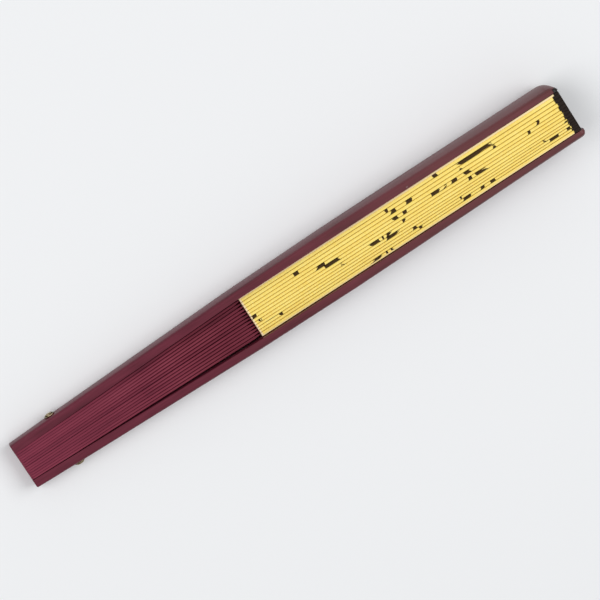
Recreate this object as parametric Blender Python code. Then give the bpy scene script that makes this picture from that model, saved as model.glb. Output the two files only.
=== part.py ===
"""Folding fan with a pleated paper leaf, closed and lying on the lower edges of its two guards.

+X runs from the tail to the head, +Y along the pivot pin from the rear guard to the front guard, and +Z is up.
The origin is the centre of the fan's bounding box, on the surface that it lies on.
Every moving piece has its origin on the pin's axis.
"""

import math

import bmesh
import bpy

MM = 0.001

# Whole fan
fan_length = 330 * MM
tail_length = 25 * MM
stick_count = 13

# Guards
guard_tail_depth = 12 * MM
guard_head_depth = 29.1 * MM
guard_tail_thickness = 4.8 * MM
guard_middle_thickness = 4.95 * MM
guard_full_thickness = 5.6 * MM
guard_head_thickness = 4.9 * MM
guard_swell_length = 40 * MM
guard_full_radius = 165 * MM
guard_crown_radius = 50 * MM
guard_shoulder_width = 1.2 * MM
guard_shoulder_depth = 2 * MM
guard_head_corner = 2.5 * MM
guard_head_sweep_length = 7 * MM
guard_head_sweep_depth = 16 * MM
front_tip_round = 6 * MM
front_head_setback = 0.8 * MM
rear_tip_round = 1.8 * MM
guard_tip_land = 0.5 * MM
guard_tail_corner = 1 * MM
guard_tail_round = 0.5 * MM

# Inner sticks
stick_tail_pitch = 1.25 * MM
stick_gap = 0.15 * MM
stick_leaf_thickness = 1.02 * MM
stick_tail_depth = 11.4 * MM
stick_pin_depth = 12.4 * MM
stick_leaf_depth = 9.8 * MM
stick_tail_setback = 0.1 * MM
stick_tail_corner = 2 * MM
stick_chamfer = 0.2 * MM
stick_shoulder_length = 3.4 * MM
stick_mouth_clearance = 0.6 * MM
tongue_thickness = 0.36 * MM
tongue_root_depth = 7.2 * MM
tongue_tip_depth = 4.4 * MM
tongue_end_clearance = 4 * MM

# Paper leaf
leaf_inner_radius = 112 * MM
leaf_head_setback = 0.8 * MM
leaf_floor_clearance = 0.3 * MM
ply_thickness = 0.15 * MM
sheet_thickness = 0.2 * MM
pocket_clearance = 0.12 * MM
pocket_side_clearance = 0.4 * MM
pocket_end_wall = 12 * MM
layer_gap = 0.29 * MM
fold_round = 0.25 * MM

# Pivot
pin_diameter = 3 * MM
pin_clearance = 0.3 * MM
washer_diameter = 5.8 * MM
washer_thickness = 0.5 * MM
washer_gap = 0.2 * MM
rivet_head_diameter = 4.6 * MM
rivet_head_height = 0.8 * MM
cutter_overrun = 2 * MM

# How far the middle pleats lean over towards the rear guard, and over how many pleats the lean builds up
pleat_lean = math.radians(6.9)
lean_pleats = 5

# Counts and shares
round_segments = 24
guard_tip_shares = (0, 0.02, 0.07, 0.15, 0.26, 0.4, 0.57, 0.78, 1)
tail_corner_shares = (0, 0.1, 0.35, 1)
shoulder_steps = 3
guard_crown_shares = (0.2, 0.4, 0.6, 0.8)
splay_station_shares = (0.25, 0.4, 0.55, 0.7, 0.85, 1)
guard_swell_station_shares = (0.1, 0.25, 0.6, 0.8, 1)
guard_leaf_station_shares = (0, 0.15, 0.3, 0.5, 0.7, 0.85)
leaf_arc_steps = 4
rivet_dome_steps = 4

# What follows from these sizes
reach = fan_length - tail_length
leaf_outer_radius = reach - leaf_head_setback
centre_slope = (guard_head_depth - guard_tail_depth) / 2 / fan_length
lie_angle = math.atan(centre_slope)
pin_height = guard_tail_depth / 2 + tail_length * centre_slope
half_panel_angle = lie_angle + math.asin((pin_height - leaf_floor_clearance) / leaf_outer_radius)
gap_count = stick_count + 1
open_angle = 2 * gap_count * 2 * half_panel_angle
pocket_thickness = tongue_thickness + 2 * pocket_clearance + 2 * ply_thickness
leaf_pitch = pocket_thickness + sheet_thickness + 2 * layer_gap
end_layers = 3 * layer_gap + 2 * sheet_thickness
leaf_half_stack = (stick_count * leaf_pitch - sheet_thickness - 2 * layer_gap) / 2 + end_layers
tail_half_stack = (stick_count * stick_tail_pitch + stick_gap) / 2
splay_end = leaf_inner_radius - stick_mouth_clearance - stick_shoulder_length
leaf_gap = leaf_pitch - stick_leaf_thickness
guard_tip_length = max(guard_head_corner, guard_head_sweep_length, front_tip_round, rear_tip_round)
pin_location = ((tail_length - reach) / 2, 0, pin_height)

STAINED_BAMBOO = (0.17, 0.028, 0.052, 1)
GOLD_PAPER = (0.87, 0.68, 0.15, 1)
BRASS = (0.62, 0.45, 0.17, 1)


def smooth_step(share):
    """Ease from 0 to 1, level at both ends."""
    held = min(max(share, 0), 1)
    return held * held * (3 - 2 * held)


def bare_share(along):
    """How far along the bare stretch a place is: 0 at the tail and 1 from the start of the leaf on."""
    return min((along + tail_length) / (splay_end + tail_length), 1)


def splayed(at_tail, at_leaf, along):
    """A value that changes evenly from the tail to the leaf, and is steady along the leaf."""
    return at_tail + (at_leaf - at_tail) * bare_share(along)


def corner_drop(distance, radius):
    """How far a rounded corner has fallen back at a distance from the end of its piece."""
    if distance >= radius:
        return 0
    return radius - math.sqrt(radius**2 - (radius - distance) ** 2)


def along_fan(along, across, y):
    """A point given along and across the closed fan's centre line, as seen from the pin."""
    x = along * math.cos(lie_angle) - across * math.sin(lie_angle)
    z = along * math.sin(lie_angle) + across * math.cos(lie_angle)
    return (x, y, z)


def on_arc(radius, angle, y):
    """A point at a radius from the pin and an angle from the closed fan's centre line."""
    return (radius * math.cos(lie_angle + angle), y, radius * math.sin(lie_angle + angle))


def paint(thing, colour, roughness, metallic):
    """Give an object a material of its own."""
    material = bpy.data.materials.new(thing.name)
    material.use_nodes = True
    shader = material.node_tree.nodes["Principled BSDF"]
    shader.inputs["Base Color"].default_value = colour
    shader.inputs["Roughness"].default_value = roughness
    shader.inputs["Metallic"].default_value = metallic
    thing.data.materials.append(material)


def stained(thing):
    paint(thing, STAINED_BAMBOO, 0.38, 0)


def gilded(thing):
    paint(thing, GOLD_PAPER, 0.62, 0)


def brassy(thing):
    paint(thing, BRASS, 0.3, 1)


def loft(name, loops, ring=False):
    """Join loops of as many points each into one closed body, capped at both ends unless it is a ring."""
    mesh = bpy.data.meshes.new(name)
    shape = bmesh.new()
    rows = [[shape.verts.new(point) for point in loop] for loop in loops]
    pairs = list(zip(rows, rows[1:]))
    if ring:
        pairs.append((rows[-1], rows[0]))
    for row, following in pairs:
        for index in range(len(row)):
            after = (index + 1) % len(row)
            shape.faces.new((row[index], row[after], following[after], following[index]))
    if not ring:
        shape.faces.new(rows[0])
        shape.faces.new(rows[-1])
    bmesh.ops.recalc_face_normals(shape, faces=shape.faces)
    shape.to_mesh(mesh)
    shape.free()
    thing = bpy.data.objects.new(name, mesh)
    thing.location = pin_location
    bpy.context.collection.objects.link(thing)
    return thing


def round_off(thing):
    """Shade a round piece smooth, with its corners kept sharp."""
    thing.data.shade_smooth()
    thing.data.set_sharp_from_angle(angle=math.radians(35))


def circle(radius, y):
    """One loop of points round the pin's axis."""
    turn = 2 * math.pi / round_segments
    return [(radius * math.cos(turn * step), y, radius * math.sin(turn * step)) for step in range(round_segments)]


def make_bore_cutter():
    """A long round bar through every stick and guard, where the pin runs."""
    half_length = outer_face() + cutter_overrun
    radius = pin_diameter / 2 + pin_clearance
    cutter = loft("bore_cutter", [circle(radius, -half_length), circle(radius, half_length)])
    cutter.hide_render = True
    cutter.display_type = "WIRE"
    return cutter


def bore(thing, cutter):
    """Cut the pin's hole through a stick or a guard."""
    cut = thing.modifiers.new("pin_bore", "BOOLEAN")
    cut.operation = "DIFFERENCE"
    cut.solver = "EXACT"
    cut.object = cutter


def guard_inside(x):
    """How far a guard's inner face is from the middle of the fan."""
    return splayed(tail_half_stack, leaf_half_stack, x)


def guard_thickness(x):
    """Guard thickness at mid-depth: slim at the tail, fullest over the leaf's inner half, easing off to the head."""
    swelling = smooth_step((x + tail_length) / guard_swell_length)
    filling = smooth_step((x - splay_end) / (guard_full_radius - splay_end))
    easing = smooth_step((x - guard_full_radius) / (reach - guard_full_radius))
    bare_part = guard_tail_thickness + (guard_middle_thickness - guard_tail_thickness) * swelling
    full_part = bare_part + (guard_full_thickness - guard_middle_thickness) * filling
    return full_part + (guard_head_thickness - guard_full_thickness) * easing


def crown_drop(offset):
    """How far the guard's crowned outer face has fallen back at an offset from its centre line."""
    return guard_crown_radius - math.sqrt(guard_crown_radius**2 - offset**2)


def guard_stations(end):
    """Places along a guard where its section is drawn, from the tail to its end at the head."""
    tail = [-tail_length + share * guard_tail_corner for share in tail_corner_shares]
    swell = [-tail_length + share * guard_swell_length for share in guard_swell_station_shares]
    run = end - guard_tip_length - splay_end
    leaf = [splay_end + share * run for share in guard_leaf_station_shares]
    tip = [end - share * guard_tip_length for share in reversed(guard_tip_shares)]
    return tail + swell + leaf + tip


def swept(distance, length, depth):
    """How far an elliptical corner of that length and depth has fallen back at a distance from the end."""
    return corner_drop(distance / length, 1) * depth


def guard_section(x, side, tip_round, end):
    """A guard's section: flat inside, crowned outside like the cane it is cut from, with rounded shoulders."""
    from_tail = x + tail_length
    from_head = end - x
    tail_drop = corner_drop(from_tail, guard_tail_corner)
    depth = guard_tail_depth + 2 * centre_slope * from_tail
    low = -pin_height + tail_drop + swept(from_head, guard_head_sweep_length, guard_head_sweep_depth)
    high = -pin_height + depth - tail_drop - corner_drop(from_head, guard_head_corner)
    centre = -pin_height + depth / 2
    inside = guard_inside(x)
    thickness = guard_thickness(x) - corner_drop(from_tail, guard_tail_round)
    left_at_tip = 1 - swept(from_head, tip_round, 1 - guard_tip_land / guard_head_thickness)
    outline = []
    for step in range(shoulder_steps + 1):
        turn = math.pi / 2 * step / shoulder_steps
        inset = guard_shoulder_width * (1 - math.sin(turn))
        outline.append((low + guard_shoulder_depth * (1 - math.cos(turn)), inset))
    crown_run = high - low - 2 * guard_shoulder_depth
    outline += [(low + guard_shoulder_depth + share * crown_run, 0) for share in guard_crown_shares]
    outline += [(low + high - z, inset) for z, inset in reversed(outline[: shoulder_steps + 1])]
    outer = []
    for z, inset in outline:
        y = inside + (thickness - crown_drop(z - centre) - inset) * left_at_tip
        outer.append((x, side * y, z))
    return [(x, side * inside, low)] + outer + [(x, side * inside, high)]


def make_guard(name, side, tip_round, end, cutter):
    """One outer guard, straight along both edges and deepest at the head, which is swept back below."""
    guard = loft(name, [guard_section(x, side, tip_round, end) for x in guard_stations(end)])
    round_off(guard)
    stained(guard)
    bore(guard, cutter)
    return guard


def lean_slope(place):
    """How far a pleat leans along Y per length across it, from its place between the rear guard and the front."""
    from_guard = min(place, gap_count - place)
    return math.tan(pleat_lean) * min(from_guard / lean_pleats, 1)


def stick_layer(number):
    """How far the middle of an inner stick lies along Y at the tail and at the leaf."""
    steps = number - (stick_count + 1) / 2
    return steps * stick_tail_pitch, steps * leaf_pitch


def stick_thickness(along):
    """A stick's thickness, which leaves a gap to the next one that grows towards the leaf."""
    gap = stick_gap + (leaf_gap - stick_gap) * smooth_step(bare_share(along))
    return splayed(stick_tail_pitch, leaf_pitch, along) - gap


def slat_section(along, depth, thickness, layer, slope=0):
    """An eased rectangle across a stick, placed in the stick's own layer of the stack."""
    high = depth / 2
    ease = min(stick_chamfer, thickness / 4)
    half = thickness / 2
    outline = [
        (-half + ease, -high),
        (half - ease, -high),
        (half, -high + ease),
        (half, high - ease),
        (half - ease, high),
        (-half + ease, high),
        (-half, high - ease),
        (-half, -high + ease),
    ]
    middle = splayed(layer[0], layer[1], along)
    return [along_fan(along, across, middle + y - slope * across) for y, across in outline]


def stick_sections(layer, slope):
    """The sections of one inner stick, from its tail to the tip of its tongue, which leans as its pleat does."""
    sections = []
    tail = -tail_length + stick_tail_setback
    for share in tail_corner_shares:
        distance = share * stick_tail_corner
        depth = stick_tail_depth - 2 * corner_drop(distance, stick_tail_corner)
        sections.append(slat_section(tail + distance, depth, stick_thickness(tail + distance), layer))
    sections.append(slat_section(0, stick_pin_depth, stick_thickness(0), layer))
    for share in splay_station_shares:
        along = share * splay_end
        depth = stick_pin_depth + (stick_leaf_depth - stick_pin_depth) * smooth_step(share)
        sections.append(slat_section(along, depth, stick_thickness(along), layer))
    root = splay_end + stick_shoulder_length
    tip = leaf_outer_radius - pocket_end_wall - tongue_end_clearance
    sections.append(slat_section(root, tongue_root_depth, tongue_thickness, layer, slope))
    sections.append(slat_section(tip - tongue_tip_depth / 2, tongue_tip_depth, tongue_thickness, layer, slope))
    sections.append(slat_section(tip, tongue_tip_depth / 2, tongue_thickness, layer, slope))
    return sections


def make_stick(number, cutter):
    """One inner stick: a slat bored for the pin, thinned to a tongue inside the leaf."""
    stick = loft(f"stick_{number:02d}", stick_sections(stick_layer(number), lean_slope(number)))
    stained(stick)
    bore(stick, cutter)
    return stick


def panel_loop(radius, middle, thickness, slope):
    """A leaning pleat's section along an arc round the pin, with its two folded edges rounded."""
    half = thickness / 2
    ease = min(fold_round, half / 2)
    ease_angle = ease / radius
    low, high = -half_panel_angle, half_panel_angle
    near = [(low + ease_angle, -half), (low, -half + ease), (low, half - ease), (low + ease_angle, half)]
    far = [(-angle, y) for angle, y in reversed(near)]
    span = high - low - 2 * ease_angle
    inner_shares = [step / leaf_arc_steps for step in range(1, leaf_arc_steps)]
    back = [(low + ease_angle + share * span, half) for share in inner_shares]
    front = [(angle, -y) for angle, y in reversed(back)]
    outline = near + back + far + front
    return [on_arc(radius, angle, middle + y - slope * radius * math.sin(angle)) for angle, y in outline]


def cavity_loop(along, depth, middle, slope):
    """The pocket's hollow, with as many points as the pleat's own section."""
    half = tongue_thickness / 2 + pocket_clearance
    high = depth / 2 + pocket_side_clearance
    ease = min(fold_round, half / 2)
    near = [(-high + ease, -half), (-high, -half + ease), (-high, half - ease), (-high + ease, half)]
    far = [(-across, y) for across, y in reversed(near)]
    span = 2 * (high - ease)
    inner_shares = [step / leaf_arc_steps for step in range(1, leaf_arc_steps)]
    back = [(-high + ease + share * span, half) for share in inner_shares]
    front = [(across, -y) for across, y in reversed(back)]
    outline = near + back + far + front
    return [along_fan(along, across, middle + y - slope * across) for across, y in outline]


def make_pocket(number):
    """A two-ply pleat, open at its inner edge, that holds one stick's tongue."""
    middle = stick_layer(number)[1]
    slope = lean_slope(number)
    mouth = leaf_inner_radius * math.cos(half_panel_angle)
    loops = [
        cavity_loop(leaf_outer_radius - pocket_end_wall, tongue_tip_depth, middle, slope),
        cavity_loop(mouth, tongue_root_depth, middle, slope),
        panel_loop(leaf_inner_radius, middle, pocket_thickness, slope),
        panel_loop(leaf_outer_radius, middle, pocket_thickness, slope),
    ]
    gilded(loft(f"leaf_pocket_{number:02d}", loops))


def make_sheet(name, middle, slope=0):
    """A plain pleat of the leaf."""
    ends = (leaf_inner_radius, leaf_outer_radius)
    gilded(loft(name, [panel_loop(radius, middle, sheet_thickness, slope) for radius in ends]))


def make_leaf():
    """All pleats of the leaf: end pleats on the guards, pockets on the sticks, and the free pleats between."""
    end_middle = leaf_half_stack - layer_gap - sheet_thickness / 2
    make_sheet("leaf_end_rear", -end_middle)
    for gap in range(gap_count):
        free_middle = end_middle - layer_gap - sheet_thickness
        middle = free_middle - (stick_count - gap) * leaf_pitch
        make_sheet(f"leaf_fold_{gap:02d}", middle, lean_slope(gap + 1 / 2))
    for number in range(1, gap_count):
        make_pocket(number)
    make_sheet("leaf_end_front", end_middle)


def outer_face():
    """How far a guard's outer face is from the middle of the fan, at the pin."""
    return guard_inside(0) + guard_thickness(0)


def make_washer(name, side):
    """A brass washer between a guard and the rivet's formed head."""
    inner = pin_diameter / 2 + pin_clearance
    outer = washer_diameter / 2
    near = side * (outer_face() + washer_gap)
    far = near + side * washer_thickness
    washer = loft(name, [circle(outer, near), circle(outer, far), circle(inner, far), circle(inner, near)], ring=True)
    round_off(washer)
    brassy(washer)


def make_pin():
    """The brass rivet that every stick turns on, with a domed head at each end."""
    seat = outer_face() + 2 * washer_gap + washer_thickness
    shank = pin_diameter / 2
    dome = []
    for step in range(rivet_dome_steps + 1):
        turn = math.pi / 2 * step / (rivet_dome_steps + 1)
        radius = rivet_head_diameter / 2 * math.cos(turn)
        dome.append((radius, seat + rivet_head_height * math.sin(turn)))
    profile = [(shank, seat)] + dome
    loops = [circle(radius, -y) for radius, y in reversed(profile)]
    loops += [circle(radius, y) for radius, y in profile]
    pin = loft("pivot_pin", loops)
    round_off(pin)
    brassy(pin)


for old in list(bpy.data.objects):
    bpy.data.objects.remove(old, do_unlink=True)

bore_cutter = make_bore_cutter()
make_guard("guard_rear", -1, rear_tip_round, reach, bore_cutter)
for stick_number in range(1, gap_count):
    make_stick(stick_number, bore_cutter)
make_guard("guard_front", 1, front_tip_round, reach - front_head_setback, bore_cutter)
make_leaf()
make_pin()
make_washer("washer_rear", -1)
make_washer("washer_front", 1)

print(f"pin at x {pin_location[0] / MM:.3f} mm, z {pin_location[2] / MM:.3f} mm")
print(f"closed fan leans {math.degrees(lie_angle):.3f} degrees and opens {math.degrees(open_angle):.2f} degrees")
print(f"leaf pitch {leaf_pitch / MM:.3f} mm, half stack {leaf_half_stack / MM:.3f} mm")
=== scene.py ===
# %% [markdown]
# # A closed folding fan
# The real thing is a hand fan: two stained bamboo guards, thirteen thin bamboo sticks, a brass rivet that
# they all turn on, and one strip of gold paper folded into twenty-nine pleats. It lies on its narrow edge
# and is seen from above.
#
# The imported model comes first. It fixes where everything is, and what turns with what.

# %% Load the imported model
import math

import bmesh
import bpy
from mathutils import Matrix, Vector


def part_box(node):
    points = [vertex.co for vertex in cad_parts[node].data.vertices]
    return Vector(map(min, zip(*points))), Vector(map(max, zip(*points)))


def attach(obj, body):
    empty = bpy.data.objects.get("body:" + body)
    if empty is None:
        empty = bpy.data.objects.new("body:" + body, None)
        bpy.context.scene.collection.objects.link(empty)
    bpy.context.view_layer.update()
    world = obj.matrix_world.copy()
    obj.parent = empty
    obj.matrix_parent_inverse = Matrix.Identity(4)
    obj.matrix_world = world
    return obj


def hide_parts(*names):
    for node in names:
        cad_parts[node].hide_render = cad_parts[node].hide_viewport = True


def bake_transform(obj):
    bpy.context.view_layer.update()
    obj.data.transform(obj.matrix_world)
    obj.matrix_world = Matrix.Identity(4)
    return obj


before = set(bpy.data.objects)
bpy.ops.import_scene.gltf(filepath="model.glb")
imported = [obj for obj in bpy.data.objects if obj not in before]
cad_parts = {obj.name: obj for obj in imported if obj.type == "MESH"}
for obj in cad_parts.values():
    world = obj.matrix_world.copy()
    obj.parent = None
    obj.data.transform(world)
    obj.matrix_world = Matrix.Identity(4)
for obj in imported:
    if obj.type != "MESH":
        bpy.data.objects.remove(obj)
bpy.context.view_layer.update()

# %% [markdown]
# ## Sizes
# The frame is in metres, and a fan is made in millimetres, so the sizes are written in millimetres. The
# pin's place is read from the frame. The other values repeat the model's own: a pleat that is drawn a
# little off its own solid would come away from its stick when the fan opens.

# %% Sizes that the leaf is drawn from
MM = 0.001
pin_low, pin_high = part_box("pivot_pin")
pin = (pin_low + pin_high) / 2
stick_count = len([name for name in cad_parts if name.startswith("stick_")])
last_place = stick_count + 1
pleat_count = 2 * last_place + 1
fan_length = 330 * MM
tail_length = 25 * MM
guard_tail_depth = 12 * MM
guard_head_depth = 29.1 * MM
leaf_inner_radius = 112 * MM
leaf_outer_radius = 304.2 * MM
leaf_floor_clearance = 0.3 * MM
leaf_pitch = 1.68 * MM
pocket_thickness = 0.9 * MM
sheet_thickness = 0.2 * MM
end_pleat_side = 11.41 * MM
pleat_lean = math.tan(math.radians(6.9))
lean_pleats = 5
lie_angle = math.atan((guard_head_depth - guard_tail_depth) / 2 / fan_length)
half_pleat = lie_angle + math.asin((pin.z - leaf_floor_clearance) / leaf_outer_radius)
half_sheet = pleat_count * half_pleat
print(f"pin at x {pin.x / MM:.1f} mm and z {pin.z / MM:.2f} mm")
print(f"one pleat spans {math.degrees(2 * half_pleat):.2f} degrees")
print(f"unfolded flat, the leaf spans {math.degrees(2 * half_sheet):.1f} degrees")

# %% [markdown]
# ## Colour and nodes
# Colours are picked as they look on a screen, in sRGB, and Blender's shaders want linear light, so one
# function turns the first into the second. A second function adds any node, with its settings and what is
# plugged into it.

# %% Helpers for colour and nodes
def linear(code):
    """A screen colour such as C9A63A as the linear colour that a shader takes."""
    parts = [int(code[at:at + 2], 16) / 255 for at in (0, 2, 4)]
    lit = [part / 12.92 if part <= 0.04045 else ((part + 0.055) / 1.055) ** 2.4 for part in parts]
    return (*lit, 1)


def add(tree, kind, inputs=(), out=0, stops=(), **settings):
    """Add a node and give one of its outputs. Inputs are listed in order or named, and each is a plain value
    or the socket that feeds it. Stops are a colour ramp's, as places and colours."""
    node = tree.nodes.new(kind)
    for name, value in settings.items():
        setattr(node, name, value)
    for key, value in inputs.items() if isinstance(inputs, dict) else enumerate(inputs):
        if isinstance(value, bpy.types.NodeSocket):
            tree.links.new(value, node.inputs[key])
        else:
            node.inputs[key].default_value = value
    # A new colour ramp has two stops already.
    for number, (place, code) in enumerate(stops):
        element = node.color_ramp.elements[number] if number < 2 else node.color_ramp.elements.new(1)
        element.position, element.color = place, linear(code)
    return node.outputs[out] if len(node.outputs) else None


print("burgundy in linear light:", [round(part, 3) for part in linear("6B2B3F")])

# %% [markdown]
# Every material starts from the Principled BSDF. A fine grain gives it most of its life: the roughness
# follows it, and so does a low relief that breaks up the highlights.

# %% Helpers for materials
def empty_material(name):
    """A material with its shader, ready for what makes it look like itself."""
    material = bpy.data.materials.new(name)
    material.use_nodes = True
    print("material", name)
    return material, material.node_tree, material.node_tree.nodes["Principled BSDF"]


def grained_surface(tree, shader, colour, grain, roughness, relief=None):
    """Plug in a colour, a roughness that follows the grain from one value to another, and the grain's relief,
    which is given by its strength and its height."""
    tree.links.new(colour, shader.inputs["Base Color"])
    low, high = roughness
    spread = add(tree, "ShaderNodeMapRange", {"Value": grain, "To Min": low, "To Max": high})
    tree.links.new(spread, shader.inputs["Roughness"])
    if relief:
        strength, height = relief
        bump = add(tree, "ShaderNodeBump", {"Strength": strength, "Distance": height, "Height": grain})
        tree.links.new(bump, shader.inputs["Normal"])


# %% [markdown]
# ## Stained bamboo
# The guards and sticks are split bamboo: long, straight fibres, about 0.3 mm wide, that take a burgundy
# aniline stain unevenly, under a thin satin varnish. Noise that is stretched fifty times along the stick
# gives the fibres. It reads Object coordinates, because every stick lies along X, so no unwrapping is
# needed. The varnish is the shader's coat. Hands and light have turned the guards browner from the middle
# on towards the head, and the sticks are redder at the tail, so the stain drifts along X at both ends.

# %% Fibres and stain
fibre_stretch = 50
fibre_spacing = 0.6 * MM
streak_spacing = 3.2 * MM
cloud_spacing = 28 * MM
drift_start = -60 * MM
aged_end = 100 * MM
fresh_end = -150 * MM


def bamboo_stain(tree, place, along, fibre, stain):
    """The stain's colour by what the fibres, wider streaks and slow clouds take up of it."""
    light, middle, dark = stain
    streak = add(tree, "ShaderNodeTexNoise", {
        "Vector": along, "Scale": 1 / streak_spacing, "Detail": 3.0, "Roughness": 0.55})
    cloud = add(tree, "ShaderNodeTexNoise", {"Vector": place, "Scale": 1 / cloud_spacing, "Detail": 2.0})
    depth = add(tree, "ShaderNodeMix", {"Factor": 0.5, "A": fibre, "B": streak})
    depth = add(tree, "ShaderNodeMix", {"Factor": 0.25, "A": depth, "B": cloud})
    return add(tree, "ShaderNodeValToRGB", {"Fac": depth}, stops=[
        (0.34, dark), (0.48, middle), (0.64, light)])


def drift(tree, x, colour, start, end, share, code):
    """Mix a colour in along X, from nothing at start to a share at end."""
    amount = add(tree, "ShaderNodeMapRange", {
        "Value": x, "From Min": start, "From Max": end, "To Max": share})
    return add(tree, "ShaderNodeMix", {
        "Factor": amount, "A": colour, "B": linear(code)}, out="Result", data_type="RGBA")


print(f"fibres {fibre_spacing / 2 / MM:.1f} mm wide, streaks {streak_spacing / MM:.1f} mm apart")

# %% [markdown]
# The inner part of the front guard's tip is painted black: painted shade of the tip's rounded end, which
# faces away from the light. The guards' inner edges have a few pale scuffs beside the leaf. Both are masks
# in the same coordinates, mixed over the stain.

# %% Painted tip shade and scuffs
tip_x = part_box("guard_front")[1].x
tip_shade_start = tip_x - 3 * MM
tip_shade_side = 12.2 * MM
tip_shade_half_width = 1.6 * MM
tip_shade_softness = 0.2 * MM
scuff_near_side = 12.4 * MM
scuff_far_side = 13.4 * MM
scuff_start = -50 * MM
scuff_spacing = 3 * MM
scuffed_from, scuffed_fully = 0.73, 0.76


def with_painted_tip_shade(tree, x, y, colour):
    """Mix in black painted shade, within its half width of a plane, from its start to the front guard's tip.
    """
    # Painted shade: this black stands in for the shade on the front guard's rounded tip end.
    from_plane = add(tree, "ShaderNodeMath", [y, tip_shade_side], operation="SUBTRACT")
    from_plane = add(tree, "ShaderNodeMath", [from_plane], operation="ABSOLUTE")
    tip_shade_amount = add(tree, "ShaderNodeMapRange", {
        "Value": from_plane, "From Min": tip_shade_half_width + tip_shade_softness,
        "From Max": tip_shade_half_width - tip_shade_softness})
    black = drift(tree, x, colour, tip_shade_start - tip_shade_softness, tip_shade_start + tip_shade_softness, 1, "16100F")
    return add(tree, "ShaderNodeMix", {
        "Factor": tip_shade_amount, "A": colour, "B": black}, out="Result", data_type="RGBA")


def with_scuffs(tree, place, x, y, colour, strength):
    """Mix in pale specks where noise is high, near the guards' inner edges."""
    side = add(tree, "ShaderNodeMath", [y], operation="ABSOLUTE")
    at_edge = add(tree, "ShaderNodeMapRange", {
        "Value": side, "From Min": scuff_far_side, "From Max": scuff_near_side, "To Max": strength})
    specks = add(tree, "ShaderNodeTexNoise", {"Vector": place, "Scale": 1 / scuff_spacing, "Detail": 2.0})
    specks = add(tree, "ShaderNodeMapRange", {
        "Value": specks, "From Min": scuffed_from, "From Max": scuffed_fully})
    beside_leaf = add(tree, "ShaderNodeMath", [x, scuff_start], operation="GREATER_THAN")
    scuffed = add(tree, "ShaderNodeMath", [at_edge, specks], operation="MULTIPLY")
    scuffed = add(tree, "ShaderNodeMath", [scuffed, beside_leaf], operation="MULTIPLY")
    return add(tree, "ShaderNodeMix", {
        "Factor": scuffed, "A": colour, "B": linear("A08A88")}, out="Result", data_type="RGBA")


# The first range printed is where the front guard's tip gets its painted shade.
print(f"paste from x {tip_shade_start / MM:.1f} to {tip_x / MM:.1f} mm, scuffs from x {scuff_start / MM:.0f} mm")


# %% Stained bamboo
def stained_bamboo(name, stain, varnish, aged, fresh, scuffs):
    """Bamboo in its stain's light, middle and dark colour. The other values are shares from 0 to 1."""
    material, tree, shader = empty_material(name)
    place = add(tree, "ShaderNodeTexCoord", out="Object")
    along = add(tree, "ShaderNodeMapping", {"Vector": place, "Scale": (1 / fibre_stretch, 1, 1)})
    parts = add(tree, "ShaderNodeSeparateXYZ", [place]).node.outputs
    fibre = add(tree, "ShaderNodeTexNoise", {
        "Vector": along, "Scale": 1 / fibre_spacing, "Detail": 4.0, "Roughness": 0.65})
    colour = bamboo_stain(tree, place, along, fibre, stain)
    colour = drift(tree, parts["X"], colour, drift_start, aged_end, aged, "6E4A44")
    colour = drift(tree, parts["X"], colour, drift_start, fresh_end, fresh, "9C4460")
    # Painted shade on the inner part of the front guard's tip.
    colour = with_painted_tip_shade(tree, parts["X"], parts["Y"], colour)
    colour = with_scuffs(tree, place, parts["X"], parts["Y"], colour, scuffs)
    grained_surface(tree, shader, colour, fibre, roughness=(0.42, 0.58), relief=(0.35, 0.05 * MM))
    shader.inputs["Specular IOR Level"].default_value = 0.08
    shader.inputs["Coat Weight"].default_value = varnish
    shader.inputs["Coat Roughness"].default_value = 0.22
    return material


guard_bamboo = stained_bamboo("guard_bamboo_stained_and_varnished", ("682636", "5A1D2C", "40121C"),
                              varnish=0.25, aged=0.42, fresh=0.04, scuffs=0.6)
stick_bamboo = stained_bamboo("stick_bamboo_stained", ("803846", "6E2B39", "4C1D27"),
                              varnish=0.0, aged=0.0, fresh=0.22, scuffs=0.0)

# %% [markdown]
# ## Gold paper with ink
# The leaf is a sized paper, painted gold-yellow and brushed with black-brown ink before it was folded. So
# its pattern is drawn on the flat leaf: each pleat carries a UV map that gives its place on the unfolded
# sheet, in metres, and a stroke that runs over a fold carries on across the next pleat.
#
# The strokes here are generic brush leaves. A Voronoi pattern scatters points, and at some of them grows a
# spray of three pointed leaves, turned by a random angle: three lobes of a cosine wave that goes round the
# point, and the others are left out. A slow noise bends the leaves, and a fine one frays their edges as a
# dry brush does.

# %% Ink sprays
lobes_round = 6.0
spray_half_angle = math.radians(75)
leaf_bend = 0.7
bends_in_leaf = 1.2
spray_shift = 0.4
seed_slope = 0.37
scatter = 0.6
fray = 1.6 * MM
ink_softness = 0.2 * MM


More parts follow.
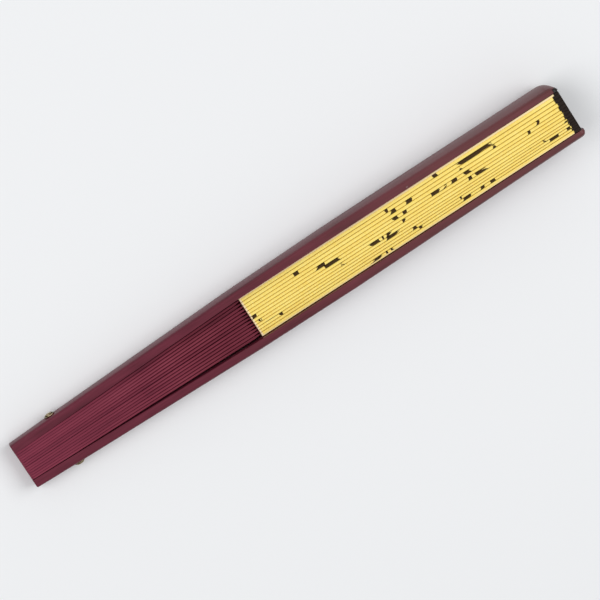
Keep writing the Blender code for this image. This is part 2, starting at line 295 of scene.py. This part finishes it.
def spray_cells(tree, flat, spacing, length, seed):
    """A point's place from its spray's middle, turned by the spray's angle, and the spray's own number."""
    bend = add(tree, "ShaderNodeTexNoise", {
        "Vector": flat, "Scale": bends_in_leaf / length, "Detail": 1.0}, out="Color")
    bend = add(tree, "ShaderNodeVectorMath", [bend, (0.5, 0.5, 0.5)], operation="SUBTRACT")
    bend = add(tree, "ShaderNodeVectorMath", [
        bend, (length * leaf_bend, length * leaf_bend, 0)], operation="MULTIPLY")
    moved = add(tree, "ShaderNodeVectorMath", [flat, (seed, seed * seed_slope, 0)], operation="ADD")
    moved = add(tree, "ShaderNodeVectorMath", [moved, bend], operation="ADD")
    cells = add(tree, "ShaderNodeTexVoronoi", {
        "Vector": moved, "Scale": 1 / spacing, "Randomness": scatter}, voronoi_dimensions="2D").node.outputs
    shade = add(tree, "ShaderNodeSeparateColor", [cells["Color"]]).node.outputs
    from_middle = add(tree, "ShaderNodeVectorMath", [moved, cells["Position"]], operation="SUBTRACT")
    turn = add(tree, "ShaderNodeMath", [shade["Red"], math.tau], operation="MULTIPLY")
    turned = add(tree, "ShaderNodeVectorRotate", {
        "Vector": from_middle, "Angle": turn}, rotation_type="Z_AXIS")
    return turned, shade["Green"]


def leaf_sprays(tree, flat, fibre, spacing, length, share, seed):
    """Ink sprays on the flat sheet, at most one in each cell of the pattern: 1 inside a leaf, 0 outside."""
    turned, chance = spray_cells(tree, flat, spacing, length, seed)
    local = add(tree, "ShaderNodeVectorMath", [turned, (length * spray_shift, 0, 0)], operation="ADD")
    parts = add(tree, "ShaderNodeSeparateXYZ", [local]).node.outputs
    angle = add(tree, "ShaderNodeMath", [parts["Y"], parts["X"]], operation="ARCTAN2")
    angle = add(tree, "ShaderNodeMath", [angle], operation="ABSOLUTE")
    wave = add(tree, "ShaderNodeMath", [angle, lobes_round], operation="MULTIPLY")
    wave = add(tree, "ShaderNodeMath", [wave], operation="COSINE")
    reach = add(tree, "ShaderNodeMath", [wave, length], operation="MULTIPLY")
    radius = add(tree, "ShaderNodeVectorMath", [local], out="Value", operation="LENGTH")
    inside = add(tree, "ShaderNodeMath", [reach, radius], operation="SUBTRACT")
    frayed = add(tree, "ShaderNodeMath", [fibre, fray, -fray / 2], operation="MULTIPLY_ADD")
    inside = add(tree, "ShaderNodeMath", [inside, frayed], operation="ADD")
    inked = add(tree, "ShaderNodeMapRange", {"Value": inside, "From Min": 0, "From Max": ink_softness})
    ahead = add(tree, "ShaderNodeMath", [angle, spray_half_angle], operation="LESS_THAN")
    grown = add(tree, "ShaderNodeMath", [chance, share], operation="LESS_THAN")
    leaf = add(tree, "ShaderNodeMath", [inked, ahead], operation="MULTIPLY")
    return add(tree, "ShaderNodeMath", [leaf, grown], operation="MULTIPLY")


print("a spray's leaves grow within", round(math.degrees(spray_half_angle)), "degrees of its middle")

# %% [markdown]
# The paper's own cream shows where the gold is gone: thin on the folds, most of all on the ones beside the
# guards, and bare on the cut edges. The cream line on every fold is partly this wear and partly a painted
# highlight of the fold tops. How far a point is from the nearest fold follows from its angle on the flat
# sheet, because the folds are the same angle apart.

# %% Where the gold is worn, and the painted fold highlight
fold_wear_highlight_width = 0.9 * MM
fold_wear_highlight_core = 0.2 * MM
crest_width = 1.3 * MM
crest_core = 0.8 * MM
cut_width = 1.1 * MM
cut_core = 0.8 * MM
crest_margin = 3 * half_pleat
bare_margin, bare_core = 0.5 * half_pleat, 0.3 * half_pleat


def sheet_place(tree, flat):
    """A point's angle from the middle of the unfolded sheet, without its sign, and its radius."""
    parts = add(tree, "ShaderNodeSeparateXYZ", [flat]).node.outputs
    turn = add(tree, "ShaderNodeMath", [parts["Y"], parts["X"]], operation="ARCTAN2")
    turn = add(tree, "ShaderNodeMath", [turn], operation="ABSOLUTE")
    return turn, add(tree, "ShaderNodeVectorMath", [flat], out="Value", operation="LENGTH")


def wear_and_fold_highlight(tree, turn, radius, fibre):
    """How much of the cream shows, from 0 to 1: wear, with a painted highlight along every fold."""
    to_fold = add(tree, "ShaderNodeMath", [turn, half_pleat], operation="ADD")
    to_fold = add(tree, "ShaderNodeMath", [to_fold, half_pleat], operation="PINGPONG")
    distance = add(tree, "ShaderNodeMath", [to_fold, radius], operation="MULTIPLY")
    # On every fold the cream is partly wear and partly a painted highlight of the fold's top.
    fold_wear_and_highlight = add(tree, "ShaderNodeMapRange", {
        "Value": distance, "From Min": fold_wear_highlight_width, "From Max": fold_wear_highlight_core, "To Max": 0.22})
    uneven = add(tree, "ShaderNodeMapRange", {"Value": fibre, "From Min": 0.35, "From Max": 0.6})
    wear_and_highlight = add(tree, "ShaderNodeMath", [fold_wear_and_highlight, uneven], operation="MULTIPLY")
    beside_guard = add(tree, "ShaderNodeMath", [turn, half_sheet - crest_margin], operation="GREATER_THAN")
    crest = add(tree, "ShaderNodeMapRange", {
        "Value": distance, "From Min": crest_width, "From Max": crest_core, "To Max": 0.6})
    crest = add(tree, "ShaderNodeMath", [crest, beside_guard], operation="MULTIPLY")
    cut = add(tree, "ShaderNodeMapRange", {
        "Value": radius, "From Min": leaf_inner_radius + cut_width, "From Max": leaf_inner_radius + cut_core})
    end = add(tree, "ShaderNodeMapRange", {
        "Value": turn, "From Min": half_sheet - bare_margin, "From Max": half_sheet - bare_core,
        "To Max": 0.85})
    for other in (crest, cut, end):
        wear_and_highlight = add(tree, "ShaderNodeMath", [wear_and_highlight, other], operation="MAXIMUM")
    return wear_and_highlight


print("the flat sheet ends", round(math.degrees(half_sheet), 1), "degrees from its middle")

# %% [markdown]
# Now the paper itself. Its real fibres are much finer than the render can show, so they are drawn 0.8 mm
# apart. The brushed gold varies slowly, over about 22 mm. The ink stays off the paper next to the guards.

# %% Gold paper
paper_fibre_spacing = 0.8 * MM
wash_spacing = 22 * MM
ink_margin = 2.8 * half_pleat


def gold_paper():
    material, tree, shader = empty_material("gold_painted_paper_with_ink")
    flat = add(tree, "ShaderNodeUVMap", uv_map="unfolded")
    turn, radius = sheet_place(tree, flat)
    fibre = add(tree, "ShaderNodeTexNoise", {
        "Vector": flat, "Scale": 1 / paper_fibre_spacing, "Detail": 4.0, "Roughness": 0.7})
    wash = add(tree, "ShaderNodeTexNoise", {"Vector": flat, "Scale": 1 / wash_spacing, "Detail": 2.0})
    tone = add(tree, "ShaderNodeMix", {"Factor": 0.4, "A": fibre, "B": wash})
    gold = add(tree, "ShaderNodeValToRGB", {"Fac": tone}, stops=[
        (0.3, "F5D25A"), (0.5, "FDE26E"), (0.7, "FFEE88")])
    # The cream is wear, with a painted highlight along every fold.
    wear_and_highlight = wear_and_fold_highlight(tree, turn, radius, fibre)
    ground = add(tree, "ShaderNodeMix", {
        "Factor": wear_and_highlight, "A": gold, "B": linear("F8E0B4")}, out="Result", data_type="RGBA")
    large = leaf_sprays(tree, flat, fibre, spacing=40 * MM, length=24 * MM, share=0.3, seed=0.31)
    small = leaf_sprays(tree, flat, fibre, spacing=24 * MM, length=12 * MM, share=0.16, seed=0.52)
    ink = add(tree, "ShaderNodeMath", [large, small], operation="MAXIMUM")
    off_guards = add(tree, "ShaderNodeMath", [turn, half_sheet - ink_margin], operation="LESS_THAN")
    ink = add(tree, "ShaderNodeMath", [ink, off_guards], operation="MULTIPLY")
    dark = add(tree, "ShaderNodeValToRGB", {"Fac": fibre}, stops=[(0.35, "2A1B08"), (0.65, "4C3514")])
    colour = add(tree, "ShaderNodeMix", {
        "Factor": ink, "A": ground, "B": dark}, out="Result", data_type="RGBA")
    grained_surface(tree, shader, colour, fibre, roughness=(0.46, 0.62), relief=(0.25, 0.03 * MM))
    shader.inputs["Specular IOR Level"].default_value = 0.14
    return material


leaf_paper = gold_paper()

# %% [markdown]
# ## Black binding and brass
# A narrow strip of black glazed paper binds the leaf's outer edge. Its grain is drawn 0.5 mm apart, coarser
# than it is, so that it shows. The rivet is cast brass, tarnished in spots of about a millimetre: a metal
# takes its colour in its reflections, so it is fully metallic, with the default IOR.

# %% Black binding and brass
binding_grain_spacing = 0.5 * MM
tarnish_spacing = 1.2 * MM


def black_binding():
    material, tree, shader = empty_material("black_glazed_paper_binding")
    flat = add(tree, "ShaderNodeUVMap", uv_map="unfolded")
    grain = add(tree, "ShaderNodeTexNoise", {
        "Vector": flat, "Scale": 1 / binding_grain_spacing, "Detail": 3.0})
    black = add(tree, "ShaderNodeValToRGB", {"Fac": grain}, stops=[(0.35, "120C09"), (0.65, "2A1F19")])
    grained_surface(tree, shader, black, grain, roughness=(0.38, 0.55), relief=(0.4, 0.04 * MM))
    shader.inputs["Specular IOR Level"].default_value = 0.12
    return material


def tarnished_brass():
    material, tree, shader = empty_material("brass_cast_and_tarnished")
    place = add(tree, "ShaderNodeTexCoord", out="Object")
    spots = add(tree, "ShaderNodeTexNoise", {
        "Vector": place, "Scale": 1 / tarnish_spacing, "Detail": 4.0, "Roughness": 0.6})
    metal = add(tree, "ShaderNodeValToRGB", {"Fac": spots}, stops=[
        (0.4, "3A3226"), (0.5, "857659"), (0.6, "CFC0A0")])
    grained_surface(tree, shader, metal, spots, roughness=(0.42, 0.26))
    shader.inputs["Metallic"].default_value = 1
    return material


binding_paper = black_binding()
rivet_brass = tarnished_brass()

# %% [markdown]
# ## One pleat, by rule
# Every pleat is the same wedge between two radii and two angles, seen from the pin. Only its layer in the
# stack, how far it leans and its number differ. That is a rule, so one Geometry Nodes tree draws them all:
# a block of one unit, or a flat grid where the sheet has no thickness yet, is bent to the wedge and stores
# its place on the unfolded sheet. The last fifth before the upper fold also carries the pattern round the
# fold, by as much as the pleat is thick there.

# %% The pleat's inputs, and what it is bent from
PLEAT_SIZES = (
    "Inner Radius", "Outer Radius", "Half Angle", "Lie Angle", "Low Side", "High Side", "Low Lean",
    "High Lean", "Low Thickness", "High Thickness", "High Growth", "Flat Start", "Flat Way")
PLEAT_INPUTS = dict.fromkeys(PLEAT_SIZES, "NodeSocketFloat") | {
    "Pin": "NodeSocketVector", "Steps Along": "NodeSocketInt", "Steps Across": "NodeSocketInt",
    "Paper": "NodeSocketMaterial"}


def pleat_blank(tree, given):
    """What a pleat is bent from: a block of one unit, or a grid for a sheet without thickness."""
    along = add(tree, "ShaderNodeMath", [given["Steps Along"], 1.0], operation="ADD")
    across = add(tree, "ShaderNodeMath", [given["Steps Across"], 1.0], operation="ADD")
    grid = add(tree, "GeometryNodeMeshGrid", {
        "Size X": 1.0, "Size Y": 1.0, "Vertices X": along, "Vertices Y": across})
    block = add(tree, "GeometryNodeMeshCube", {
        "Size": (1, 1, 1), "Vertices X": along, "Vertices Y": across, "Vertices Z": 2})
    thick = add(tree, "FunctionNodeCompare", [given["High Thickness"], 0.0], operation="GREATER_THAN")
    return add(tree, "GeometryNodeSwitch", {
        "Switch": thick, "False": grid, "True": block}, input_type="GEOMETRY")


print("inputs of the pleat tree:", len(PLEAT_INPUTS))


# %% Where a pleat's points go
fold_start = 0.8


def turned_parts(tree, radius, turn):
    """The two parts of a point that lies at a radius and an angle."""
    cosine = add(tree, "ShaderNodeMath", [turn], operation="COSINE")
    sine = add(tree, "ShaderNodeMath", [turn], operation="SINE")
    return [add(tree, "ShaderNodeMath", [radius, part], operation="MULTIPLY") for part in (cosine, sine)]


def layer_across(tree, given, share_across, radius):
    """The middle of the pleat's layer and its thickness. Both change from the lower fold to the upper one."""
    changes = (("Low Lean", "Low Side"), ("High Lean", "High Side"), ("High Growth", "High Thickness"))
    low_side, high_side, high_thickness = (
        add(tree, "ShaderNodeMath", [radius, given[change], given[base]], operation="MULTIPLY_ADD")
        for change, base in changes)
    middle = add(tree, "ShaderNodeMapRange", {"Value": share_across, "To Min": low_side, "To Max": high_side})
    thickness = add(tree, "ShaderNodeMapRange", {
        "Value": share_across, "To Min": given["Low Thickness"], "To Max": high_thickness})
    return middle, thickness


def wedge_place(tree, given, radius, angle, middle, depth):
    """Where a point lies in the closed fan."""
    turn = add(tree, "ShaderNodeMath", [angle, given["Lie Angle"]], operation="ADD")
    forward, upward = turned_parts(tree, radius, turn)
    side = add(tree, "ShaderNodeMath", [middle, depth], operation="SUBTRACT")
    from_pin = add(tree, "ShaderNodeCombineXYZ", [forward, side, upward])
    return add(tree, "ShaderNodeVectorMath", [from_pin, given["Pin"]], operation="ADD")


def flat_place(tree, given, radius, angle, depth, share_across):
    """Where a point lies on the unfolded sheet. Near the upper fold the pattern also goes round the fold."""
    near_fold = add(tree, "ShaderNodeMapRange", {"Value": share_across, "From Min": fold_start})
    over_fold = add(tree, "ShaderNodeMath", [depth, near_fold], operation="MULTIPLY")
    over_fold = add(tree, "ShaderNodeMath", [over_fold, radius], operation="DIVIDE")
    turn = add(tree, "ShaderNodeMath", [
        angle, given["Flat Way"], given["Flat Start"]], operation="MULTIPLY_ADD")
    turn = add(tree, "ShaderNodeMath", [turn, over_fold], operation="SUBTRACT")
    return add(tree, "ShaderNodeCombineXYZ", turned_parts(tree, radius, turn))


# %% The pleat tree
def pleat_tree():
    tree = bpy.data.node_groups.new("pleat", "GeometryNodeTree")
    for name, kind in PLEAT_INPUTS.items():
        tree.interface.new_socket(name, in_out="INPUT", socket_type=kind)
    tree.interface.new_socket("Geometry", in_out="OUTPUT", socket_type="NodeSocketGeometry")
    given = add(tree, "NodeGroupInput").node.outputs
    at = add(tree, "ShaderNodeSeparateXYZ", [add(tree, "GeometryNodeInputPosition")]).node.outputs
    share_along = add(tree, "ShaderNodeMath", [at["X"], 0.5], operation="ADD")
    share_across = add(tree, "ShaderNodeMath", [at["Y"], 0.5], operation="ADD")
    radius = add(tree, "ShaderNodeMapRange", {
        "Value": share_along, "To Min": given["Inner Radius"], "To Max": given["Outer Radius"]})
    low_angle = add(tree, "ShaderNodeMath", [given["Half Angle"], -1.0], operation="MULTIPLY")
    angle = add(tree, "ShaderNodeMapRange", {
        "Value": share_across, "To Min": low_angle, "To Max": given["Half Angle"]})
    middle, thickness = layer_across(tree, given, share_across, radius)
    depth = add(tree, "ShaderNodeMath", [at["Z"], thickness], operation="MULTIPLY")
    place = wedge_place(tree, given, radius, angle, middle, depth)
    flat = flat_place(tree, given, radius, angle, depth, share_across)
    marked = add(tree, "GeometryNodeStoreNamedAttribute", {
        "Geometry": pleat_blank(tree, given), "Name": "unfolded", "Value": flat},
        data_type="FLOAT2", domain="CORNER")
    bent = add(tree, "GeometryNodeSetPosition", {"Geometry": marked, "Position": place})
    real = add(tree, "GeometryNodeRealizeInstances", {"Geometry": bent})
    done = add(tree, "GeometryNodeSetMaterial", {"Geometry": real, "Material": given["Paper"]})
    add(tree, "NodeGroupOutput", {"Geometry": done})
    return tree


pleat_rule = pleat_tree()
print("pleat tree with", len(pleat_rule.nodes), "nodes")

# %% [markdown]
# A tree's result is not yet a mesh that others can use. So each pleat is evaluated once, kept as a plain
# mesh, and the modifier goes. The inputs are set by the sockets' identifiers before that first evaluation.

# %% Run a tree and keep its mesh
def shaped(name, tree, values):
    """A plain mesh object from a Geometry Nodes tree and values for its named inputs."""
    thing = bpy.data.objects.new(name, bpy.data.meshes.new(name))
    bpy.context.scene.collection.objects.link(thing)
    modifier = thing.modifiers.new("rule", "NODES")
    modifier.node_group = tree
    for item in tree.interface.items_tree:
        if item.item_type == "SOCKET" and item.in_out == "INPUT" and item.name in values:
            modifier[item.identifier] = values[item.name]
    graph = bpy.context.evaluated_depsgraph_get()
    mesh = bpy.data.meshes.new_from_object(thing.evaluated_get(graph), depsgraph=graph)
    mesh.name = name
    thing.modifiers.clear()
    thing.data = mesh
    print(name, len(mesh.polygons), "faces")
    return thing


# %% [markdown]
# ## Where each pleat lies
# Fixed pleats alternate with free ones. Place 0 is the pleat that is glued to the rear guard, places 1 to
# 13 are the double pleats round the sticks, and place 14 is glued to the front guard. The stack leans over
# towards the rear guard, a little more with each of the first five pleats. The upper folds swell towards
# the one before them, by as much as leaves about the same groove between any two. The folds of the two end
# pleats stand a little off the guards.
#
# The gold paper ends just under the binding, so that no gold shows between two strips of it. On the real
# leaf it runs on to the outer edge, where nobody sees it.

# %% Layers and lean
def layer(place):
    """The middle of a fixed pleat's layer along Y, and its thickness."""
    if place in (0, last_place):
        return end_pleat_side * (1 if place else -1), sheet_thickness
    return (place - last_place / 2) * leaf_pitch, pocket_thickness


def lean(place):
    """How far a fixed pleat's upper edge moves along Y per metre of radius."""
    return -pleat_lean * min(min(place, last_place - place) / lean_pleats, 1) * math.sin(half_pleat)


def fixed_body(place):
    """The body that a fixed pleat turns with."""
    return {0: "rear_guard", last_place: "front_guard"}.get(place, f"inner_stick_{place:02d}")


def flat_start(place):
    """The angle of a pleat's middle on the unfolded sheet. Places count pleats in twos."""
    return 2 * (2 * place - last_place) * half_pleat


print("layers in mm:", [round(layer(place)[0] / MM, 2) for place in range(last_place + 1)])


# %% Where the binding and the paper end
binding_outer_radius = 304.35 * MM
binding_inner_radius = 300.3 * MM
binding_wander = 0.35 * MM
wander_step = 2.4
binding_narrowing = 0.9 * MM
paper_under_binding = 0.6 * MM


def binding_radii(place):
    """The strip was trimmed by hand, so its inner edge wanders, and it is narrower at the front guard."""
    inner = binding_inner_radius + binding_wander * math.sin(wander_step * place)
    return inner + (binding_narrowing if place == last_place else 0), binding_outer_radius


def paper_radii(place):
    return leaf_inner_radius, binding_radii(place)[0] + paper_under_binding


starts = [binding_radii(place)[0] / MM for place in range(last_place + 1)]
print(f"the binding starts {min(starts):.1f} to {max(starts):.1f} mm from the pin")


# %% Values for the pleat tree
fold_swelling = 0.32 * MM
end_swelling = 0.46 * MM
end_fold_shift = 0.33 * MM
steps_along = 12
steps_across = 6


def fixed_values(place, radii, thicker=0.0, wrap=0.0):
    """The pleat tree's values for a fixed pleat, or for a strip of binding on it."""
    middle, thickness = layer(place)
    at_end = place in (0, last_place)
    swelling = end_swelling if at_end else fold_swelling
    fold_shift = math.copysign(end_fold_shift, middle) if at_end else swelling / 2
    growth = lean(place) - lean(place - 1) if place else 0
    return {
        "Inner Radius": radii[0], "Outer Radius": radii[1],
        "Half Angle": half_pleat + wrap / leaf_outer_radius,
        "Lie Angle": lie_angle, "Pin": (pin.x, 0, pin.z),
        "Low Side": middle, "High Side": middle - fold_shift,
        "Low Lean": -lean(place), "High Lean": lean(place) - growth / 2,
        "Low Thickness": thickness + thicker, "High Thickness": thickness + swelling + thicker,
        "High Growth": growth,
        "Flat Start": flat_start(place), "Flat Way": 1.0,
        "Steps Along": steps_along, "Steps Across": steps_across,
    }


def free_values(gap, radii):
    """The pleat tree's values for the free pleat after a fixed one. It hangs from that one's upper fold to
    the next one's lower fold."""
    (before, before_thickness), (after, after_thickness) = layer(gap), layer(gap + 1)
    return {
        "Inner Radius": radii[0], "Outer Radius": radii[1], "Half Angle": half_pleat,
        "Lie Angle": lie_angle, "Pin": (pin.x, 0, pin.z),
        "High Side": before + (before_thickness + sheet_thickness) / 2,
        "Low Side": after - (after_thickness + sheet_thickness) / 2,
        "High Lean": lean(gap), "Low Lean": -lean(gap + 1),
        "Low Thickness": 0.0, "High Thickness": 0.0, "High Growth": 0.0,
        "Flat Start": flat_start(gap + 0.5), "Flat Way": -1.0,
        "Steps Along": steps_along, "Steps Across": 1,
    }


print(f"the middle pleat leans {math.degrees(math.atan(pleat_lean)):.1f} degrees")

# %% [markdown]
# ## The free pleats
# A free pleat's mesh takes in its object's place and stays where it lies in the closed fan. The fixed
# pleats' folded edges are rounded, and each free pleat gets the thickness of its paper.

# %% Bake the free pleats, round the folds
creased_from = math.radians(40)


def blend_free_pleat(thing):
    """Bake a free pleat's place into its mesh."""
    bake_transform(thing)


def crease_round(thing, width):
    """Round the folded edges of a fixed pleat."""
    thing.data.shade_smooth()
    rounding = thing.modifiers.new("fold", "BEVEL")
    rounding.width, rounding.segments = width, 3
    rounding.limit_method, rounding.angle_limit = "ANGLE", creased_from
    rounding.harden_normals = True


def sheet_wall(thing, thickness):
    """Give a free pleat the thickness of its paper."""
    wall = thing.modifiers.new("paper", "SOLIDIFY")
    wall.thickness, wall.offset = thickness, 0


print("free pleats to blend:", last_place)

# %% [markdown]
# ## The leaf
# Now the pleats are made. Each fixed one rides on its own stick or guard and stands for its solid in the
# frame, and each free one stays where it lies in the closed fan.

# %% Make the leaf
def node_for(place):
    """The frame's node of a fixed pleat."""
    return {0: "leaf_end_rear", last_place: "leaf_end_front"}.get(place, f"leaf_pocket_{place:02d}")


fold_rounding = 0.3 * MM
rounded_share = 0.4
for place in range(last_place + 1):
    values = fixed_values(place, paper_radii(place)) | {"Paper": leaf_paper}
    pleat = shaped(f"paper_pleat_{place:02d}", pleat_rule, values)
    crease_round(pleat, min(fold_rounding, layer(place)[1] * rounded_share))
    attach(pleat, fixed_body(place))
    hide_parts(node_for(place))
for gap in range(last_place):
    values = free_values(gap, paper_radii(gap + 0.5)) | {"Paper": leaf_paper}
    pleat = shaped(f"paper_free_pleat_{gap:02d}", pleat_rule, values)
    blend_free_pleat(pleat)
    sheet_wall(pleat, sheet_thickness)
    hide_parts(f"leaf_fold_{gap:02d}")
print("pleats:", pleat_count)

# %% [markdown]
# ## The binding
# The binding is one strip on the real fan, folded with the leaf. It is cut at the folds here, because each
# part turns with its own pleat, and it is the same rule once more with other radii. It is a little thicker
# than the paper that it covers, and on the fixed pleats it goes a little way round each fold.

# %% Bind the leaf's outer edge
binding_wrap = 0.2 * MM
binding_extra = 0.26 * MM
binding_end_extra = 0.1 * MM
binding_rounding = 0.22 * MM
binding_end_rounding = 0.12 * MM
binding_look = {"Steps Along": 2, "Paper": binding_paper}
for place in range(last_place + 1):
    at_end = place in (0, last_place)
    thicker = binding_end_extra if at_end else binding_extra
    values = fixed_values(place, binding_radii(place), thicker, binding_wrap) | binding_look
    strip = shaped(f"binding_{place:02d}", pleat_rule, values)
    crease_round(strip, binding_end_rounding if at_end else binding_rounding)
    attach(strip, fixed_body(place))
for gap in range(last_place):
    values = free_values(gap, binding_radii(gap + 0.5)) | binding_look
    strip = shaped(f"binding_free_{gap:02d}", pleat_rule, values)
    blend_free_pleat(strip)
    sheet_wall(strip, sheet_thickness + binding_extra)
print("binding parts:", pleat_count)

# %% [markdown]
# ## Guards, sticks and rivet
# These shapes are right in the frame already, but their edges are sharp, and a real edge always catches a
# little light. So a copy of each, with its triangles merged and its corners eased, stands for it. Its
# normals are weighted by the faces' areas, or smooth shading would bend the light over a guard's whole flat
# edge and not only over its corners.
#
# A stick swells a little where it is bare, so that only a narrow dark seam is left between two. Three seams
# stay more open, as thin strips of bamboo are never all quite straight.

# %% Merge a frame node and ease its corners
merge_distance = 0.002 * MM
flat_within = math.radians(0.3)
eased_from = math.radians(38)


def merged_copy(name, node, material):
    """A copy of a frame node as a clean bmesh: its triangles are loose, and flat faces are cut up."""
    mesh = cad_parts[node].data.copy()
    mesh.name = name
    mesh.materials.clear()
    mesh.materials.append(material)
    shape = bmesh.new()
    shape.from_mesh(mesh)
    bmesh.ops.remove_doubles(shape, verts=shape.verts, dist=merge_distance)
    bmesh.ops.dissolve_limit(shape, angle_limit=flat_within, verts=shape.verts, edges=shape.edges)
    shape.normal_update()
    return mesh, shape


def finish_copy(mesh, shape, node, body, corner):
    """Round a merged copy's edges and let it stand for its node."""
    shape.to_mesh(mesh)
    shape.free()
    mesh.shade_smooth()
    thing = bpy.data.objects.new(mesh.name, mesh)
    bpy.context.scene.collection.objects.link(thing)
    easing = thing.modifiers.new("eased", "BEVEL")
    easing.width, easing.segments = corner, 2
    easing.limit_method, easing.angle_limit = "ANGLE", eased_from
    easing.harden_normals = True
    level = thing.modifiers.new("level", "WEIGHTED_NORMAL")
    level.mode, level.keep_sharp = "FACE_AREA", True
    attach(thing, body)
    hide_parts(node)
    print(thing.name, len(mesh.polygons), "faces")


# %% Guards
guard_easing = 0.25 * MM
for side in ("rear", "front"):
    mesh, shape = merged_copy(f"bamboo_guard_{side}", f"guard_{side}", guard_bamboo)
    finish_copy(mesh, shape, f"guard_{side}", f"{side}_guard", guard_easing)

# %% Sticks
stick_easing = 0.07 * MM
tail_swelling = 0.04 * MM
stick_swelling = 0.18 * MM
open_seams = {1: 0.14 * MM, 7: 0.12 * MM, 9: 0.06 * MM}
swelling_start = pin.x - tail_length
swelling_end = pin.x + leaf_inner_radius
last_swollen_share = 1.01
for number in range(1, last_place):
    mesh, shape = merged_copy(f"bamboo_stick_{number:02d}", f"stick_{number:02d}", stick_bamboo)
    for vert in shape.verts:
        share = (vert.co.x - swelling_start) / (swelling_end - swelling_start)
        if share <= last_swollen_share:
            swelling = tail_swelling + (stick_swelling - tail_swelling) * max(share, 0)
            if vert.normal.y < 0:
                swelling -= open_seams.get(number, 0)
            vert.co.y += math.copysign(1, vert.normal.y) * swelling
    finish_copy(mesh, shape, f"stick_{number:02d}", f"inner_stick_{number:02d}", stick_easing)

# %% Rivet
rivet_easing = 0.1 * MM
for name, node in (("brass_washer_rear", "washer_rear"), ("brass_washer_front", "washer_front"),
                   ("brass_rivet", "pivot_pin")):
    mesh, shape = merged_copy(name, node, rivet_brass)
    finish_copy(mesh, shape, node, "rear_guard", rivet_easing)

# %% [markdown]
# ## Floor, light and camera
# The fan lies on a plain pale floor under soft studio light. The two softboxes stand high beyond its two
# ends, so that their light reaches down between the sticks and leaves hardly a shadow beside the guards.
# The camera looks almost straight down, a little from the front guard's side, and that guard's outer face
# mirrors the pale floor. The world lights softly, and Light Path lets the camera and the glossy surfaces
# see it as a paler backdrop.

# %% Floor and world
floor_half = 3.0
floor_mesh = bpy.data.meshes.new("floor")
floor_mesh.from_pydata([(-floor_half, -floor_half, 0), (floor_half, -floor_half, 0),
                        (floor_half, floor_half, 0), (-floor_half, floor_half, 0)], [], [(0, 1, 2, 3)])
floor = bpy.data.objects.new("floor", floor_mesh)
bpy.context.scene.collection.objects.link(floor)
floor_material, _, floor_shader = empty_material("pale_studio_floor")
floor_shader.inputs["Base Color"].default_value = linear("EEEFF0")
floor_shader.inputs["Roughness"].default_value = 0.9
floor_shader.inputs["Specular IOR Level"].default_value = 0.1
floor_mesh.materials.append(floor_material)

world = bpy.data.worlds.new("studio")
world.use_nodes = True
world_tree = world.node_tree
soft_light = world_tree.nodes["Background"]
soft_light.inputs["Color"].default_value = linear("F4F5F7")
soft_light.inputs["Strength"].default_value = 0.5
backdrop = add(world_tree, "ShaderNodeBackground", {"Color": linear("F4F5F7"), "Strength": 0.9})
rays = add(world_tree, "ShaderNodeLightPath").node.outputs
seen = add(world_tree, "ShaderNodeMath", [rays["Is Camera Ray"], rays["Is Glossy Ray"]], operation="MAXIMUM")
seen = add(world_tree, "ShaderNodeMath", [seen, rays["Is Transmission Ray"]], operation="MAXIMUM")
light_by_ray = add(world_tree, "ShaderNodeMixShader", [seen, soft_light.outputs[0], backdrop])
world_tree.links.new(light_by_ray, world_tree.nodes["World Output"].inputs["Surface"])
bpy.context.scene.world = world
print("world light", soft_light.inputs["Strength"].default_value)


# %% Lights
def softbox(name, place, aim, size, power):
    """A square soft light that faces a point."""
    light = bpy.data.lights.new(name, "AREA")
    light.shape, light.size, light.energy = "SQUARE", size, power
    lamp = bpy.data.objects.new(name, light)
    lamp.location = place
    lamp.rotation_euler = (Vector(aim) - Vector(place)).to_track_quat("-Z", "Y").to_euler()
    bpy.context.scene.collection.objects.link(lamp)


softbox("softbox_tail", (-1.0, 0.5, 1.5), aim=(0, 0, 0), size=1.2, power=13)
softbox("softbox_head", (1.0, -0.05, 1.5), aim=(0, 0, 0), size=1.2, power=13)
print("softboxes:", len(bpy.data.lights))

# %% Camera
camera_place = Vector((-120.1, 254.8, 1589.1)) * MM
camera_aim = Vector((-2.42, -6.57, 15.0)) * MM
photo_up = Vector((0.553, 0.8276, -0.0961))
sensor_width = 36
lens_length = 189.71
lens = bpy.data.cameras.new("camera")
lens.sensor_width, lens.lens = sensor_width, lens_length
lens.clip_start, lens.clip_end = 0.01, 20
camera = bpy.data.objects.new("camera", lens)
back = (camera_place - camera_aim).normalized()
right = photo_up.cross(back).normalized()
up = back.cross(right)
for column, axis in enumerate((right, up, back, camera_place)):
    for row in range(3):
        camera.matrix_world[row][column] = axis[row]
bpy.context.scene.collection.objects.link(camera)
bpy.context.scene.camera = camera
bpy.context.scene.view_settings.view_transform = "Standard"
print("camera", round((camera_place - camera_aim).length, 3), "m from the fan, lens", lens_length, "mm")
